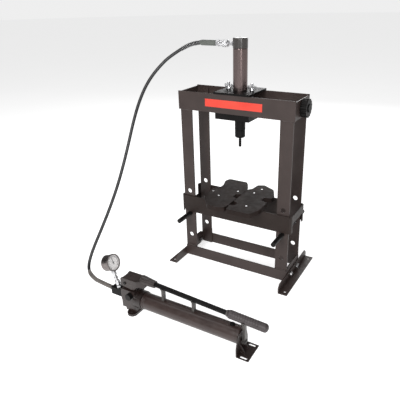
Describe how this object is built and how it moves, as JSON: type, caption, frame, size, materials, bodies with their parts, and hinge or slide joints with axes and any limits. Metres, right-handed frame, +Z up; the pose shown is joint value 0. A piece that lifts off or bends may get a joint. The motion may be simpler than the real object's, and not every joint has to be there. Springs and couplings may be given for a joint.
{
  "type": "hydraulic shop press",
  "caption": "Bench H-frame hydraulic shop press with a single-acting cylinder on a sliding carriage, pinned bed with loose arbor plates, and a hose-fed hand pump with a gauge.",
  "frame": {"origin": "on the bench, midway between the four uprights of the press frame", "axes": "+Z up, -Y to the operator, +X to the press's right side as the operator sees it"},
  "size_m": [0.8398, 0.7513, 0.99],
  "materials": {
    "frame_paint": "satin dark grey-brown paint",
    "black_paint": "satin black paint",
    "black_steel": "black oxide, oiled",
    "bright_steel": "zinc plated",
    "chrome_rod": "hard chrome, polished",
    "barrel_paint": "gloss brown-grey enamel",
    "tank_paint": "gloss dark red-brown enamel",
    "cast_paint": "painted casting",
    "hose_rubber": "smooth hydraulic hose cover",
    "ferrule_sleeve": "grey-green bend restrictor sleeve",
    "lower_sleeve": "grey sleeve",
    "spring_steel": "spring wire",
    "grip_plastic": "moulded grip",
    "dial_face": "printed dial, matt",
    "needle_black": "matt black"
  },
  "bodies": {
    "frame": {"upright_front_left": "frame_paint", "upright_front_right": "frame_paint", "upright_rear_left": "frame_paint", "upright_rear_right": "frame_paint", "head_front_plate": "frame_paint", "head_rear_plate": "frame_paint", "head_left_plate": "frame_paint", "head_right_plate": "frame_paint", "base_front_rail": "frame_paint", "base_rear_rail": "frame_paint", "side_plate_left": "frame_paint", "side_plate_right": "frame_paint", "foot_angle_left": "frame_paint", "foot_angle_right": "frame_paint", "foot_bolts": "bright_steel", "hose": "hose_rubber", "hose_sleeve_bottom": "lower_sleeve", "pump_head": "cast_paint", "lever_pivot_pin": "bright_steel", "oil_tank": "tank_paint", "tank_collar": "bright_steel", "pump_rear_bracket": "cast_paint", "handle_clips": "bright_steel", "gauge_block": "black_paint", "gauge_stem": "bright_steel", "gauge_case": "bright_steel", "gauge_dial": "dial_face"},
    "carriage": {"carriage_top_plate": "black_paint", "carriage_bottom_plate": "black_paint", "clamp_studs": "bright_steel", "cylinder_barrel": "barrel_paint", "cylinder_cap": "black_paint", "cylinder_gland": "barrel_paint", "return_spring": "spring_steel", "port_nipple": "bright_steel", "coupler_body": "bright_steel", "hose_ferrule_top": "ferrule_sleeve", "hose_guard_top": "spring_steel"},
    "ram": {"ram_plunger": "chrome_rod", "ram_head": "black_paint", "ram_tip": "black_paint"},
    "bed": {"bed_front_plate": "frame_paint", "bed_rear_plate": "frame_paint", "bed_left_end": "frame_paint", "bed_right_end": "frame_paint"},
    "pin_left": {"support_pin_left": "black_steel"},
    "pin_right": {"support_pin_right": "black_steel"},
    "arbor_left": {"arbor_plate_left": "black_paint"},
    "arbor_right": {"arbor_plate_right": "black_paint"},
    "wing_left": {"wing_nut_left": "bright_steel"},
    "wing_right": {"wing_nut_right": "bright_steel"},
    "coupler": {"coupler_ring": "bright_steel"},
    "knob": {"end_knob": "black_paint"},
    "lever": {"pump_lever": "cast_paint", "handle_tube": "frame_paint", "handle_grip": "grip_plastic"},
    "plunger": {"pump_plunger": "bright_steel"},
    "valve": {"release_valve": "black_steel"},
    "filler": {"filler_cap": "black_paint"},
    "needle": {"gauge_needle": "needle_black"}
  },
  "joints": [
    {"name": "carriage_slide", "type": "slide", "parent": "frame", "child": "carriage", "axis": [1, 0, 0], "range_m": [-0.06, 0.06], "deforming": ["hose"]},
    {"name": "ram_slide", "type": "slide", "parent": "carriage", "child": "ram", "axis": [0, 0, -1], "range_m": [0, 0.1], "stiffness_N_per_m": 500, "springref_m": -0.12, "deforming": ["return_spring"]},
    {"name": "bed_lift", "type": "slide", "parent": "frame", "child": "bed", "axis": [0, 0, 1], "range_m": [0, 0.11]},
    {"name": "pin_left_slide", "type": "slide", "parent": "frame", "child": "pin_left", "axis": [0, -1, 0], "range_m": [0, 0.26]},
    {"name": "pin_right_slide", "type": "slide", "parent": "frame", "child": "pin_right", "axis": [0, -1, 0], "range_m": [0, 0.26]},
    {"name": "arbor_left_slide", "type": "slide", "parent": "bed", "child": "arbor_left", "axis": [-1, 0, 0], "range_m": [0, 0.045]},
    {"name": "arbor_right_slide", "type": "slide", "parent": "bed", "child": "arbor_right", "axis": [1, 0, 0], "range_m": [0, 0.055]},
    {"name": "wing_left_turn", "type": "hinge", "parent": "carriage", "child": "wing_left", "pos_m": [-0.06, 0, 0.8], "axis": [0, 0, 1], "range_deg": [0, 1080]},
    {"name": "wing_right_turn", "type": "hinge", "parent": "carriage", "child": "wing_right", "pos_m": [0.044, 0, 0.8], "axis": [0, 0, 1], "range_deg": [0, 1080]},
    {"name": "coupler_ring_slide", "type": "slide", "parent": "carriage", "child": "coupler", "axis": [-1, 0, 0], "range_m": [0, 0.006], "stiffness_N_per_m": 900, "springref_m": -0.002},
    {"name": "end_knob_turn", "type": "hinge", "parent": "frame", "child": "knob", "pos_m": [0.256, 0, 0.742], "axis": [1, 0, 0], "range_deg": [0, 720]},
    {"name": "lever_lift", "type": "hinge", "parent": "frame", "child": "lever", "pos_m": [-0.222, -0.525, 0.134], "axis": [0, -1, 0], "range_deg": [0, 60]},
    {"name": "plunger_stroke", "type": "slide", "parent": "frame", "child": "plunger", "axis": [0, 0, 1], "range_m": [0, 0.0325]},
    {"name": "release_valve_turn", "type": "hinge", "parent": "frame", "child": "valve", "pos_m": [-0.196, -0.555, 0.088], "axis": [0, -1, 0], "range_deg": [0, 360]},
    {"name": "filler_cap_turn", "type": "hinge", "parent": "frame", "child": "filler", "pos_m": [0.228, -0.525, 0.096], "axis": [0, 0, 1], "range_deg": [0, 720]},
    {"name": "gauge_needle_turn", "type": "hinge", "parent": "frame", "child": "needle", "pos_m": [-0.29349, -0.525, 0.19009], "axis": [-0.9455, 0, -0.3256], "range_deg": [0, 240], "stiffness_Nm_per_rad": 0.0002}
  ],
  "couplings": [
    {"joint": "plunger_stroke", "follows": "lever_lift", "m_per_rad": 0.03056}
  ]
}
